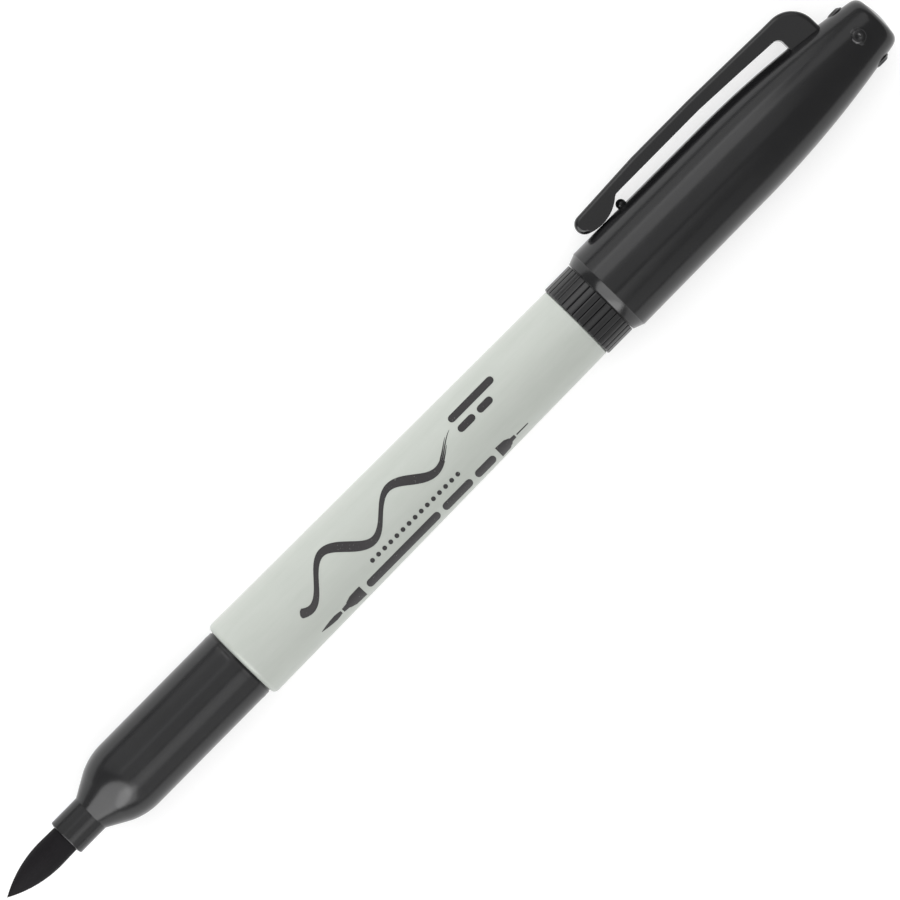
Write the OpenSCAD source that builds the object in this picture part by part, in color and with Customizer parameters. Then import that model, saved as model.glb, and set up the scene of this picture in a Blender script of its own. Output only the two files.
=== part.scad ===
// Twin-ended brush pen.
// A brush nib stands out of a moulded section at one end. A fine nib is under a
// push-on cap with a pocket clip at the other end. One ink reservoir feeds both.
// The pen lies along X: brush nib towards -X, cap towards +X, clip towards +Y.
// The origin is on the pen's axis, at the seat where the brush end's own cap stops.

/* [Barrel] */
// Length of the barrel
barrel_l = 58; // [45:0.5:80]
// Outer diameter at the brush end
barrel_brush_d = 11.46; // [9.5:0.02:14]
// Outer diameter at the fine end
barrel_fine_d = 10.44; // [8.7:0.02:13]
// Wall of the barrel around the brush section's plug
barrel_brush_wall = 1.1; // [0.9:0.05:1.4]
// Wall of the barrel around the fine section's plug
barrel_fine_wall = 0.72; // [0.5:0.02:1]
// Rounding of the rim at the brush end
barrel_rim_r = 0.7; // [0.3:0.05:0.85]
// Depth of the step that each plug stops against
plug_stop = 0.2; // [0.1:0.05:0.3]

/* [Brush section] */
// Step down from the barrel's rim to the section
section_step = 0.83; // [0.6:0.01:1]
// Length of the straight part that the brush end's cap slides over
section_l = 18.8; // [12:0.1:26]
// Radius of the shoulder's curve
shoulder_r = 8.7; // [6:0.1:10]
// Angle at which the shoulder runs into the neck
shoulder_angle = 27; // [20:1:35]
// Wall of the neck that grips the nib
neck_wall = 0.58; // [0.4:0.02:0.9]
// Length of the neck
neck_l = 4.4; // [3:0.1:7]
// Length of the flange between the section and the barrel
flange_l = 0.5; // [0.3:0.1:1]
// How far the flange stands out of the section
flange_step = 0.16; // [0.08:0.02:0.2]
// Length of the plug inside the barrel
brush_plug_l = 9; // [6:0.5:14]

/* [Brush nib] */
// Diameter of the nib where it is widest
nib_d = 3.94; // [3.3:0.02:4.2]
// Length of the pointed part
nib_point_l = 7.5; // [6:0.1:11]
// Length of the nib between its widest place and the neck's mouth
nib_root_l = 2.6; // [1.5:0.1:4]
// How much thinner the shank is than the widest place, on the radius
nib_shank_step = 0.06; // [0.04:0.01:0.15]
// Length of the tail that stands in the ink core
nib_tail_l = 5; // [3:0.5:8]
// Diameter at the end of the tail
nib_tail_d = 1.6; // [1:0.1:2.4]

/* [Ink reservoir] */
// Thickness of the film round the fibre core
film_t = 0.12; // [0.08:0.01:0.2]
// How far the core reaches into the brush section
core_in_brush_l = 12; // [4:0.5:13]
// Room between the core's brush end and the funnel that leads to the nib
brush_air_l = 2; // [1:0.5:4]
// Length of the funnel between the core's hollow and the brush nib
brush_funnel_l = 5; // [3:0.5:7]
// How far the core reaches past the barrel into the fine section
core_in_fine_l = 4.5; // [2:0.5:5]
// Room between the core's fine end and the funnel that leads to the nozzle
fine_air_l = 1; // [0.5:0.5:2]
// Wall of the plugs between the core and the barrel
plug_wall = 0.5; // [0.4:0.02:0.7]

/* [Fine section] */
// Length of the ribbed collar
collar_l = 4.2; // [3:0.1:7]
// How far the collar stands out of the barrel
collar_step = 0.26; // [0.1:0.02:0.5]
// Number of ribs round the collar
collar_ribs = 36; // [18:1:48]
// Width of the grooves between the ribs
rib_groove_w = 0.15; // [0.1:0.01:0.25]
// Depth of the grooves between the ribs
rib_groove_depth = 0.16; // [0.1:0.01:0.25]
// Bevel at the ends of the ribs
rib_bevel = 0.14; // [0.08:0.02:0.2]
// Length of the plug inside the barrel
fine_plug_l = 8; // [5:0.5:12]
// Length of the cylinder that the cap sits on
seat_l = 6.5; // [5:0.1:8]
// Length of the cone from the seat to the nozzle
fine_shoulder_l = 3.8; // [3:0.1:5]
// Diameter of the nozzle that the cap's inner seal closes on
nozzle_d = 4.7; // [3.8:0.05:5]
// Length of the nozzle's straight part
nozzle_l = 4.2; // [3:0.1:6]
// Length of the nozzle's pointed end
nozzle_point_l = 2.4; // [1.5:0.1:3.5]
// Wall of the nozzle at its very end
nozzle_rim = 0.3; // [0.2:0.05:0.5]
// How far the funnel inside runs past the seat into the shoulder
fine_funnel_over_l = 1.5; // [0.5:0.5:2]

/* [Fine nib] */
// Diameter of the tube that holds the fine nib
holder_d = 1.9; // [1.5:0.05:2.4]
// How far the holder stands out of the nozzle
holder_out_l = 1.8; // [1:0.1:3]
// Length of the holder that stays straight outside the nozzle
holder_straight_l = 0.3; // [0.1:0.1:0.8]
// How far the holder reaches behind the nozzle's straight part
holder_in_l = 1; // [0:0.5:2]
// Wall at the holder's front
holder_rim = 0.2; // [0.1:0.02:0.3]
// Diameter of the fine nib
fine_nib_d = 0.8; // [0.6:0.05:0.9]
// How far the fine nib stands out of its holder
fine_nib_out_l = 1.4; // [0.8:0.1:2]
// Width of the line that the fine nib draws
fine_point_d = 0.3; // [0.2:0.05:0.5]
// How far the fine nib reaches into the ink core
fine_tail_l = 3; // [2:0.5:4]

/* [Cap] */
// Length of the cap
cap_l = 48.1; // [41:0.1:60]
// How far the cap stands out of the collar
cap_step = 0.6; // [0.4:0.02:1]
// How much the cap's radius falls up to the start of the long curve
cap_draft = 0.08; // [0:0.01:0.2]
// Distance from the mouth to the start of the long curve
cap_straight_l = 22.3; // [18:0.1:28]
// Diameter that the long curve reaches at the closed end
cap_tail_d = 6.95; // [6:0.05:8.4]
// Wall of the cap behind its mouth
cap_wall = 1.05; // [0.8:0.05:1.3]
// Wall of the closed end
cap_end_wall = 1.5; // [1:0.1:2.5]
// Rounding between the side and the end of the cap
cap_end_r = 1.8; // [1:0.1:2.2]
// Radius of the slightly domed end face
cap_dome_r = 10; // [8:0.5:30]
// Length of the bevel at the mouth
mouth_bevel_l = 1.3; // [0.8:0.1:2]
// Width of the flat rim of the mouth
mouth_rim = 0.46; // [0.3:0.02:0.6]

/* [Cap details] */
// Distance of the four small bosses from the closed end
boss_from_end = 3.75; // [3:0.05:6]
// Diameter of the four small bosses
boss_d = 1.8; // [1.2:0.1:2.2]
// How far the bosses stand out of the cap
boss_h = 0.27; // [0.15:0.01:0.5]
// Distance of the clip's stop from the mouth
stop_from_mouth = 9.7; // [8:0.1:12]
// Radius of the round stop
stop_r = 0.7; // [0.5:0.05:0.9]

/* [Pocket clip] */
// Gap between the cap and the clip's arm
clip_gap = 1.46; // [1.2:0.02:3]
// Thickness of the clip's arm
clip_t = 1.8; // [1.3:0.05:2]
// Thickness of the arm where it joins the root
clip_root_t = 2.16; // [1.8:0.02:2.4]
// How far the outer face falls towards the root
clip_root_drop = 0.3; // [0:0.05:0.5]
// Length over which the arm thickens towards the root
clip_taper_l = 13; // [8:0.5:18]
// Width of the clip at its root
clip_root_w = 4.4; // [3.6:0.1:5.2]
// Width of the clip at its tip
clip_tip_w = 3.4; // [2.6:0.1:4.4]
// Length of the thick root that stands on the cap
clip_root_l = 4.8; // [3.5:0.1:7]
// Distance of the clip's root from the cap's closed end
clip_root_from_end = 6.1; // [5:0.1:9]
// Distance of the clip's tip from the cap's mouth
clip_tip_from_mouth = 3.6; // [2:0.1:6]
// Distance from the root to the place where the arm bends
clip_bend_l = 3; // [2:0.1:6]
// Rounding of the root's outer corner
clip_corner_r = 3.6; // [2:0.1:3.6]
// Rounding of the corner under the arm at the root
clip_fillet_r = 0.7; // [0.3:0.05:0.9]
// Rounding of the clip's tip
clip_tip_r = 1.25; // [0.9:0.05:1.4]
// Radius of the pad that rests on the cap
clip_pad_r = 4.2; // [3.6:0.1:5]
// Distance from the tip to the place where the pad rests
clip_pad_from_tip = 2.6; // [2:0.1:3.2]
// How far the outer face falls towards the tip
clip_tip_drop = 0.44; // [0:0.02:0.6]
// Length over which the outer face falls towards the tip
clip_drop_l = 11; // [6:0.5:14]
// Radius of the crown across the clip's outer face
clip_crown_r = 4; // [3.2:0.1:12]

/* [Cap seal] */
// Wall of the inner seal
seal_wall = 0.75; // [0.5:0.05:1]
// Distance of the seal's mouth from the shoulder of the fine section
seal_from_shoulder = 0.4; // [0.2:0.1:1]
// Distance of the fins from the seal's mouth
fin_from_mouth = 1; // [0.5:0.5:3]
// Number of fins that centre the seal in the cap
seal_fins = 6; // [3:1:8]
// Thickness of the fins
fin_t = 0.7; // [0.5:0.05:1]
// Length of the fins
fin_l = 11; // [6:0.5:16]

/* [Clearances] */
// Radial gap of parts that are pressed together
press_gap = 0.02; // [0.01:0.01:0.04]
// Radial gap of parts that slide on each other
slide_gap = 0.05; // [0.03:0.01:0.09]
// Radial gap round the ink core
core_gap = 0.08; // [0.05:0.01:0.15]
// Gap between the collar and the cap's mouth
mouth_gap = 0.1; // [0.05:0.01:0.3]
// Room past the end of the seat inside the cap
seat_room_l = 1.5; // [0.5:0.5:3]
// Gap between the clip's pad and the cap
pad_gap = 0.08; // [0.05:0.01:0.2]

/* [Hidden] */
round_fn = 96;
small_fn = 48;
cut = 0.5; // how far a cutting shape runs past what it cuts

// Radii of the plugs, the core and the sections
section_r = barrel_brush_d / 2 - section_step;
brush_plug_r = barrel_brush_d / 2 - barrel_brush_wall - press_gap;
fine_plug_r = barrel_fine_d / 2 - barrel_fine_wall - press_gap;
core_bore_r = min(brush_plug_r, fine_plug_r) - plug_wall;
film_r = core_bore_r - core_gap;
core_r = film_r - film_t;
nib_r = nib_d / 2;
neck_r = nib_r + neck_wall;
nib_shank_r = nib_r - nib_shank_step;
collar_r = barrel_fine_d / 2 + collar_step;
seat_r = collar_r - mouth_rim;
cap_r = collar_r + cap_step;
cap_waist_r = cap_r - cap_draft;
holder_bore_r = holder_d / 2 + press_gap;

// Places along the axis, from the brush tip to the cap's end
shoulder_x = -section_l;
shoulder_end_x = shoulder_x - shoulder_r * sin(shoulder_angle);
shoulder_end_r = section_r - shoulder_r * (1 - cos(shoulder_angle));
neck_x = shoulder_end_x - (shoulder_end_r - neck_r) / tan(shoulder_angle);
mouth_x = neck_x - neck_l;
nib_wide_x = mouth_x - nib_root_l;
barrel_x = flange_l;
barrel_end_x = barrel_x + barrel_l;
collar_end_x = barrel_end_x + collar_l;
seat_end_x = collar_end_x + seat_l;
nozzle_x = seat_end_x + fine_shoulder_l;
nozzle_end_x = nozzle_x + nozzle_l;
nozzle_tip_x = nozzle_end_x + nozzle_point_l;
cap_x = collar_end_x + mouth_gap;
cap_end_x = cap_x + cap_l;
cap_curve_x = cap_x + cap_straight_l;

// The ink core, and the two hollows that taper from it to the nibs
core_x = barrel_x - core_in_brush_l;
core_end_x = barrel_end_x + core_in_fine_l;
nib_tail_x = core_x + nib_tail_l;
brush_hollow_x = core_x - brush_air_l;
fine_hollow_x = core_end_x + fine_air_l;
fine_funnel_end_x = seat_end_x + fine_funnel_over_l;
holder_end_x = nozzle_tip_x + holder_out_l;

// The cap's hollow follows the outside at the wall's thickness
cap_bore_r = seat_r + slide_gap;
cap_bore_end_x = cap_x + seat_l + seat_room_l;
cap_curve_l = cap_l - cap_straight_l;
cap_curve_drop = cap_waist_r - cap_tail_d / 2;
cap_curve_r = (pow(cap_curve_l, 2) + pow(cap_curve_drop, 2)) / (2 * cap_curve_drop);
cap_centre_r = cap_waist_r - cap_curve_r;
cap_corner_x = cap_end_x - cap_end_r;
cap_corner_r = cap_centre_r + sqrt(pow(cap_curve_r - cap_end_r, 2) - pow(cap_corner_x - cap_curve_x, 2));
seal_bore_r = nozzle_d / 2 + slide_gap;
seal_r = seal_bore_r + seal_wall;
seal_x = nozzle_x + seal_from_shoulder;
seal_end_x = cap_x_at(seal_r + press_gap, cap_wall) - press_gap;
fin_x = seal_x + fin_from_mouth;

// The clip
clip_root_end_x = cap_end_x - clip_root_from_end;
clip_root_x = clip_root_end_x - clip_root_l;
clip_tip_x = cap_x + clip_tip_from_mouth;
clip_arm_l = clip_root_x - clip_tip_x;
clip_out = cap_r + clip_gap + clip_t;
clip_bend_x = clip_root_x - clip_bend_l;
clip_taper_x = clip_root_x - clip_taper_l;
clip_pad_x = clip_tip_x + clip_pad_from_tip;
knuckle_r = (clip_face_out(clip_bend_x) - clip_face_in(clip_bend_x)) / 2;
knuckle_y = clip_face_in(clip_bend_x) + knuckle_r;

// How far place x is along the stretch where the arm thickens, from 0 to 1 at the root
function clip_taper(x) = max(0, (x - clip_taper_x) / clip_taper_l);

// Outer and inner face of the clip's arm at place x
function clip_face_out(x) = clip_out - clip_root_drop * clip_taper(x);
function clip_face_in(x) = clip_out - clip_t - (clip_root_t + clip_root_drop - clip_t) * clip_taper(x);

// Outer radius of the cap at place x, between the bevel and the closed end
function cap_side_r(x) =
    x < cap_curve_x
        ? cap_r - cap_draft * (x - cap_x - mouth_bevel_l) / (cap_straight_l - mouth_bevel_l)
        : cap_centre_r + sqrt(pow(cap_curve_r, 2) - pow(x - cap_curve_x, 2));

// Radius of the cap's hollow at place x
function cap_hollow_r(x) =
    x < cap_bore_end_x
        ? cap_bore_r
        : x < cap_curve_x
            ? cap_bore_r + (cap_waist_r - cap_wall - cap_bore_r) * (x - cap_bore_end_x)
                  / (cap_curve_x - cap_bore_end_x)
            : cap_centre_r + sqrt(pow(cap_curve_r - cap_wall, 2) - pow(x - cap_curve_x, 2));

// Place along the curve where the radius at a given depth under the outside is r
function cap_x_at(r, depth) =
    cap_curve_x + sqrt(pow(cap_curve_r - depth, 2) - pow(r - cap_centre_r, 2));

// A body turned about the pen's axis from an outline in [radius, place along X]
module turned() {
    rotate([0, 90, 0])
        rotate_extrude($fn = round_fn)
            children();
}

// A straight or conical band of such an outline, from x0 to x1
module band(x0, x1, r0, r1) {
    polygon([[0, x0], [r0, x0], [r1, x1], [0, x1]]);
}

// A round bore along the axis, from x0 to x1
module bore(x0, x1, r) {
    translate([x0, 0, 0])
        rotate([0, 90, 0])
            cylinder(r = r, h = x1 - x0, $fn = round_fn);
}

// The part of a disc that lies between two places along X, on one side of the axis
module disc_band(centre_r, centre_x, r, x0, x1) {
    intersection() {
        translate([centre_r, centre_x])
            circle(r = r, $fn = 4 * round_fn);
        translate([0, x0])
            square([barrel_brush_d, x1 - x0]);
    }
}

module barrel() {
    rim_x = barrel_x + barrel_rim_r;
    rim_centre_r = barrel_brush_d / 2 - barrel_rim_r;
    socket_brush_r = brush_plug_r + press_gap;
    socket_fine_r = fine_plug_r + press_gap;
    color("#bfc3bd")
        difference() {
            turned()
                union() {
                    band(rim_x, barrel_end_x, barrel_brush_d / 2, barrel_fine_d / 2);
                    band(barrel_x, rim_x, rim_centre_r, rim_centre_r);
                    translate([rim_centre_r, rim_x])
                        circle(r = barrel_rim_r, $fn = small_fn);
                }
            bore(barrel_x - cut, barrel_x + brush_plug_l + press_gap, socket_brush_r);
            bore(barrel_x, barrel_end_x, min(socket_brush_r, socket_fine_r) - plug_stop);
            bore(barrel_end_x - fine_plug_l - press_gap, barrel_end_x + cut, socket_fine_r);
        }
}

module brush_section() {
    flange_r = section_r + flange_step;
    funnel_x = brush_hollow_x - brush_funnel_l;
    color("#2d2d2e")
        difference() {
            turned()
                union() {
                    band(mouth_x, neck_x, neck_r, neck_r);
                    band(neck_x, shoulder_end_x, neck_r, shoulder_end_r);
                    disc_band(section_r - shoulder_r, shoulder_x, shoulder_r, shoulder_end_x, shoulder_x);
                    band(shoulder_x, 0, section_r, section_r);
                    band(0, flange_l, flange_r, flange_r);
                    band(flange_l, barrel_x + brush_plug_l, brush_plug_r, brush_plug_r);
                }
            bore(mouth_x - cut, brush_hollow_x, nib_shank_r + press_gap);
            bore(brush_hollow_x, barrel_x + brush_plug_l + cut, core_bore_r);
            turned()
                band(funnel_x, brush_hollow_x, nib_shank_r + press_gap, core_bore_r);
        }
}

module brush_nib() {
    point_r = (pow(nib_point_l, 2) + pow(nib_r, 2)) / (2 * nib_r);
    color("#1c1a1f")
        turned()
            union() {
                disc_band(nib_r - point_r, nib_wide_x, point_r, nib_wide_x - nib_point_l, nib_wide_x);
                band(nib_wide_x, mouth_x, nib_r, nib_shank_r);
                band(mouth_x, core_x, nib_shank_r, nib_shank_r);
                band(core_x, nib_tail_x, nib_shank_r, nib_tail_d / 2);
            }
}

module ink_reservoir() {
    color("#3a3442")
        difference() {
            bore(core_x, core_end_x, core_r);
            turned()
                band(core_x, nib_tail_x + press_gap, nib_shank_r + press_gap, nib_tail_d / 2 + press_gap);
            bore(core_end_x - fine_tail_l - press_gap, core_end_x + cut, fine_nib_d / 2 + press_gap);
        }
}

module reservoir_wrap() {
    color("#d9dde0", 0.5)
        difference() {
            bore(core_x, core_end_x, film_r);
            bore(core_x - cut, core_end_x + cut, core_r);
        }
}

module fine_section() {
    color("#2a2a2b")
        difference() {
            turned()
                union() {
                    band(barrel_end_x - fine_plug_l, barrel_end_x, fine_plug_r, fine_plug_r);
                    band(barrel_end_x, barrel_end_x + rib_bevel, collar_r - rib_bevel, collar_r);
                    band(barrel_end_x + rib_bevel, collar_end_x, collar_r, collar_r);
                    band(collar_end_x, seat_end_x, seat_r, seat_r);
                    band(seat_end_x, nozzle_x, seat_r, nozzle_d / 2);
                    band(nozzle_x, nozzle_end_x, nozzle_d / 2, nozzle_d / 2);
                    band(nozzle_end_x, nozzle_tip_x, nozzle_d / 2, holder_bore_r + nozzle_rim);
                }
            rib_grooves();
            bore(barrel_end_x - fine_plug_l - cut, fine_hollow_x, core_bore_r);
            turned()
                band(fine_hollow_x, fine_funnel_end_x, core_bore_r, holder_bore_r);
            bore(fine_funnel_end_x, nozzle_tip_x + cut, holder_bore_r);
        }
}

module rib_grooves() {
    for (rib = [0 : collar_ribs - 1])
        rotate([rib * 360 / collar_ribs, 0, 0])
            translate([barrel_end_x, collar_r - rib_groove_depth, -rib_groove_w / 2])
                cube([collar_l + cut, rib_groove_depth + cut, rib_groove_w]);
}

module fine_nib_holder() {
    holder_x = nozzle_x - holder_in_l;
    taper_x = nozzle_tip_x + holder_straight_l;
    nib_bore_r = fine_nib_d / 2 + press_gap;
    color("#3b3b3d")
        difference() {
            turned()
                union() {
                    band(holder_x, taper_x, holder_d / 2, holder_d / 2);
                    band(taper_x, holder_end_x, holder_d / 2, nib_bore_r + holder_rim);
                }
            bore(holder_x - cut, holder_end_x + cut, nib_bore_r);
        }
}

module fine_nib() {
    straight_end_x = holder_end_x + fine_nib_out_l / 3;
    tip_r = fine_point_d / 2;
    tip_x = holder_end_x + fine_nib_out_l - tip_r;
    color("#1c1a1f")
        turned()
            union() {
                band(core_end_x - fine_tail_l, straight_end_x, fine_nib_d / 2, fine_nib_d / 2);
                band(straight_end_x, tip_x, fine_nib_d / 2, tip_r);
                disc_band(0, tip_x, tip_r, tip_x, tip_x + tip_r);
            }
}

module cap() {
    color("#2a2a2b")
        difference() {
            union() {
                cap_outside();
                cap_bosses();
                clip_stop();
                clip_root();
            }
            cap_hollow();
        }
}

module cap_outside() {
    bevel_end_x = cap_x + mouth_bevel_l;
    corner_slope = (cap_corner_x - cap_curve_x) / (cap_curve_r - cap_end_r);
    corner_start_x = cap_curve_x + cap_curve_r * corner_slope;
    turned()
        intersection() {
            union() {
                band(cap_x, bevel_end_x, cap_bore_r + mouth_rim, cap_r);
                band(bevel_end_x, cap_curve_x, cap_r, cap_waist_r);
                disc_band(cap_centre_r, cap_curve_x, cap_curve_r, cap_curve_x, corner_start_x);
                translate([cap_corner_r, cap_corner_x])
                    circle(r = cap_end_r, $fn = small_fn);
                band(corner_start_x, cap_end_x, cap_corner_r, cap_corner_r);
            }
            union() {
                band(cap_x, cap_end_x - cap_dome_r, cap_dome_r, cap_dome_r);
                disc_band(0, cap_end_x - cap_dome_r, cap_dome_r, cap_end_x - cap_dome_r, cap_end_x);
            }
        }
}

// The hollow: a seat for the fine section, then a space of even wall for the seal
module cap_hollow() {
    hollow_end_x = cap_end_x - cap_end_wall;
    bore(cap_x - cut, cap_bore_end_x, cap_bore_r);
    turned()
        union() {
            band(cap_bore_end_x, cap_curve_x, cap_bore_r, cap_waist_r - cap_wall);
            disc_band(cap_centre_r, cap_curve_x, cap_curve_r - cap_wall, cap_curve_x, hollow_end_x);
        }
}

// Four small bosses that grip the other cap when it is pushed on here
module cap_bosses() {
    boss_x = cap_end_x - boss_from_end;
    for (side = [0 : 3])
        rotate([side * 90, 0, 0])
            translate([boss_x, 0, cap_side_r(boss_x) - cap_wall / 2])
                cylinder(d = boss_d, h = boss_h + cap_wall / 2, $fn = small_fn);
}

// A small round stop under the clip that holds back the pocket's cloth
module clip_stop() {
    stop_x = cap_x + stop_from_mouth;
    translate([stop_x, cap_side_r(stop_x), 0])
        sphere(r = stop_r, $fn = small_fn);
}

// The clip's root and the first stretch of its arm, moulded with the cap
module clip_root() {
    difference() {
        intersection() {
            linear_extrude(height = clip_root_w, center = true)
                clip_root_outline();
            clip_crown();
        }
        translate([clip_bend_x, knuckle_y, -clip_root_w])
            cylinder(r = knuckle_r + slide_gap, h = 2 * clip_root_w, $fn = small_fn);
    }
}

// Side view of the root: it stands on the cap, with a large round outer corner
module clip_root_outline() {
    sunk_r = cap_hollow_r(clip_root_end_x);
    corner_x = clip_root_end_x - clip_corner_r;
    corner_y = clip_face_out(clip_root_x) - clip_corner_r;
    fillet_y = clip_face_in(clip_root_x) - clip_fillet_r;
    polygon([[clip_bend_x, clip_face_in(clip_bend_x)],
             [clip_root_x, clip_face_in(clip_root_x)],
             [clip_root_x, sunk_r],
             [clip_root_end_x, sunk_r],
             [clip_root_end_x, corner_y],
             [corner_x, corner_y],
             [corner_x, corner_y + clip_corner_r],
             [clip_bend_x, clip_face_out(clip_bend_x)]]);
    intersection() {
        translate([corner_x, corner_y])
            circle(r = clip_corner_r, $fn = round_fn);
        translate([corner_x, corner_y])
            square(clip_corner_r);
    }
    difference() {
        translate([clip_root_x - clip_fillet_r, fillet_y])
            square([2 * clip_fillet_r, clip_root_t]);
        translate([clip_root_x - clip_fillet_r, fillet_y])
            circle(r = clip_fillet_r, $fn = small_fn);
    }
}

// A bar along the clip whose top is round across, which crowns the clip's outer face
module clip_crown() {
    centre_y = clip_out - clip_crown_r;
    translate([clip_tip_x - cut, 0, 0])
        rotate([90, 0, 90])
            linear_extrude(height = clip_root_end_x - clip_tip_x + 2 * cut)
                union() {
                    translate([centre_y, 0])
                        circle(r = clip_crown_r, $fn = round_fn);
                    translate([0, -clip_crown_r])
                        square([centre_y, 2 * clip_crown_r]);
                }
}

// The arm that flexes: it turns about the round end that sits in the root
module cap_clip() {
    color("#2a2a2b")
        intersection() {
            linear_extrude(height = 2 * clip_root_w, center = true)
                clip_arm_outline();
            clip_crown();
            translate([0, clip_out + cut, 0])
                rotate([90, 0, 0])
                    linear_extrude(height = clip_out)
                        clip_plan();
        }
}

// Side view of the arm: a round tip, a round pad under it, and the long bar
module clip_arm_outline() {
    tip_centre_x = clip_tip_x + clip_tip_r;
    tip_face_y = clip_out - clip_tip_drop;
    pad_centre_y = cap_side_r(clip_pad_x) + pad_gap + clip_pad_r;
    polygon([[tip_centre_x, clip_face_in(clip_taper_x)],
             [clip_taper_x, clip_face_in(clip_taper_x)],
             [clip_bend_x, clip_face_in(clip_bend_x)],
             [clip_bend_x, clip_face_out(clip_bend_x)],
             [clip_taper_x, clip_out],
             [clip_tip_x + clip_drop_l, clip_out],
             [tip_centre_x, tip_face_y]]);
    translate([tip_centre_x, tip_face_y - clip_tip_r])
        circle(r = clip_tip_r, $fn = small_fn);
    intersection() {
        translate([clip_pad_x, pad_centre_y])
            circle(r = clip_pad_r, $fn = round_fn);
        translate([tip_centre_x, pad_centre_y - clip_pad_r])
            square([clip_pad_r + clip_pad_from_tip, tip_face_y - clip_tip_r - pad_centre_y + clip_pad_r]);
    }
    translate([clip_bend_x, knuckle_y])
        circle(r = knuckle_r, $fn = small_fn);
}

// Top view of the arm, which narrows evenly to a round tip
module clip_plan() {
    bend_w = clip_root_w - (clip_root_w - clip_tip_w) * clip_bend_l / clip_arm_l;
    knuckle_x = clip_bend_x + knuckle_r;
    tip_centre_x = clip_tip_x + clip_tip_w / 2;
    polygon([[tip_centre_x, -clip_tip_w / 2],
             [knuckle_x, -bend_w / 2],
             [knuckle_x, bend_w / 2],
             [tip_centre_x, clip_tip_w / 2]]);
    translate([tip_centre_x, 0])
        circle(d = clip_tip_w, $fn = small_fn);
}

// A closed sleeve that shuts on the nozzle so that the fine nib can't dry out
module cap_inner_seal() {
    color("#8f9498")
        difference() {
            union() {
                bore(seal_x, seal_end_x, seal_r);
                for (fin = [0 : seal_fins - 1])
                    rotate([fin * 360 / seal_fins, 0, 0])
                        translate([fin_x, 0, -fin_t / 2])
                            cube([fin_l, seal_fin_r(), fin_t]);
            }
            bore(seal_x - cut, seal_end_x - seal_wall, seal_bore_r);
        }
}

// The fins reach the hollow's wall where the hollow is narrowest beside them
function seal_fin_r() =
    sqrt(pow(min(cap_hollow_r(fin_x), cap_hollow_r(fin_x + fin_l)) - press_gap, 2) - pow(fin_t / 2, 2));

barrel();
brush_section();
brush_nib();
ink_reservoir();
reservoir_wrap();
fine_section();
fine_nib_holder();
fine_nib();
cap();
cap_inner_seal();
cap_clip();
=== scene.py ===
# %% [markdown]
# # A twin-ended brush pen
# A felt pen with a brush nib at one end and a fine nib, under a cap with a pocket clip, at the other.
# The engineering model is loaded first and stays fixed: it says where each piece is and what moves.
# Each cell below makes one piece or one finish on top of it, as a maker would, and says why that way.

# %% Load the engineering model
import math

import bmesh
import bpy
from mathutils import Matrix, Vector


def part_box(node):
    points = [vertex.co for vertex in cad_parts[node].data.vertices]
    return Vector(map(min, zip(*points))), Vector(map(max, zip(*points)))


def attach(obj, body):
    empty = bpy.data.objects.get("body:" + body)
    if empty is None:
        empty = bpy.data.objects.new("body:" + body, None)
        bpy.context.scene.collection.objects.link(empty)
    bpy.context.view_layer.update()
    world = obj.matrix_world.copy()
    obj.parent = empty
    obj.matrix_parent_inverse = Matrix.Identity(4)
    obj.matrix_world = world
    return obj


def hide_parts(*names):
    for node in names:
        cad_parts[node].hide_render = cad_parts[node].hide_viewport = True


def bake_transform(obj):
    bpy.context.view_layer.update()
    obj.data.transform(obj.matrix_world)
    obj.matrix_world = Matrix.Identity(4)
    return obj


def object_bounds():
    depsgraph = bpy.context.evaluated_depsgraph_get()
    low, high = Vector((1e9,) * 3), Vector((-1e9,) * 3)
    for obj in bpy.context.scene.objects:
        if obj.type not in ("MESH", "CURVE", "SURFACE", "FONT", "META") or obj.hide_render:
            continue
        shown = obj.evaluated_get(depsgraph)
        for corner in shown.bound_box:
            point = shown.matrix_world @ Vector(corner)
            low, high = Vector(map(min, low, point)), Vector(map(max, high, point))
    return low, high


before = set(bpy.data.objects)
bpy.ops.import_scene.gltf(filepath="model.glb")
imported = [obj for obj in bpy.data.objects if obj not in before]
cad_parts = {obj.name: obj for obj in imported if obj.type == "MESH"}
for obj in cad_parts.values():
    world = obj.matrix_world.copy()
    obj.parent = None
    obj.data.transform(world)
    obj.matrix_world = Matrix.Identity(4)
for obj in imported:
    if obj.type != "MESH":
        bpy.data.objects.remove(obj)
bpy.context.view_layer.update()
print("nodes:", len(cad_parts))

# %% [markdown]
# ## Reading sizes off the model
# The script works in millimetres, which suit a pen, and turns them to metres at the last moment.
# Places come from the boxes of the model's own pieces, and a radius is read from the ring of points that
# the model has at a place along the axis. So if the pen is redesigned, the looks follow.

# %% Places and radii from the model
MM = 0.001
TURN_STEPS = 128


def ends(node):
    """Where a node begins and ends along the pen, in millimetres."""
    low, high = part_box(node)
    return low.x / MM, high.x / MM


def widest(node):
    """The largest radius of a node about the pen's axis, in millimetres."""
    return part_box(node)[1].z / MM


def ring_radius(node, x):
    """The outer radius of a node at the ring of points nearest to x, in millimetres."""
    points = [v.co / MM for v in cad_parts[node].data.vertices]
    nearest = min(abs(p.x - x) for p in points)
    return max(math.hypot(p.y, p.z) for p in points if abs(p.x - x) < nearest + 0.01)


nib_tip_x, nib_tail_end_x = ends("brush_nib")
mouth_x, brush_plug_end_x = ends("brush_section")
barrel_x, barrel_end_x = ends("barrel")
fine_plug_x, nozzle_tip_x = ends("fine_section")
cap_x, cap_end_x = ends("cap")
core_x, core_end_x = ends("ink_reservoir")
print(f"barrel {barrel_x:.2f} to {barrel_end_x:.2f} mm, cap {cap_x:.2f} to {cap_end_x:.2f} mm")

# %% [markdown]
# ## Modelling tools
# Nearly everything on a pen is turned about one axis, so the main tool draws half of the piece's outline as
# a chain of points and spins it. That is how a lathe or a round mould makes it, and the outline stays easy
# to read. The others pick points by their place, and round the outline's corners.

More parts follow.
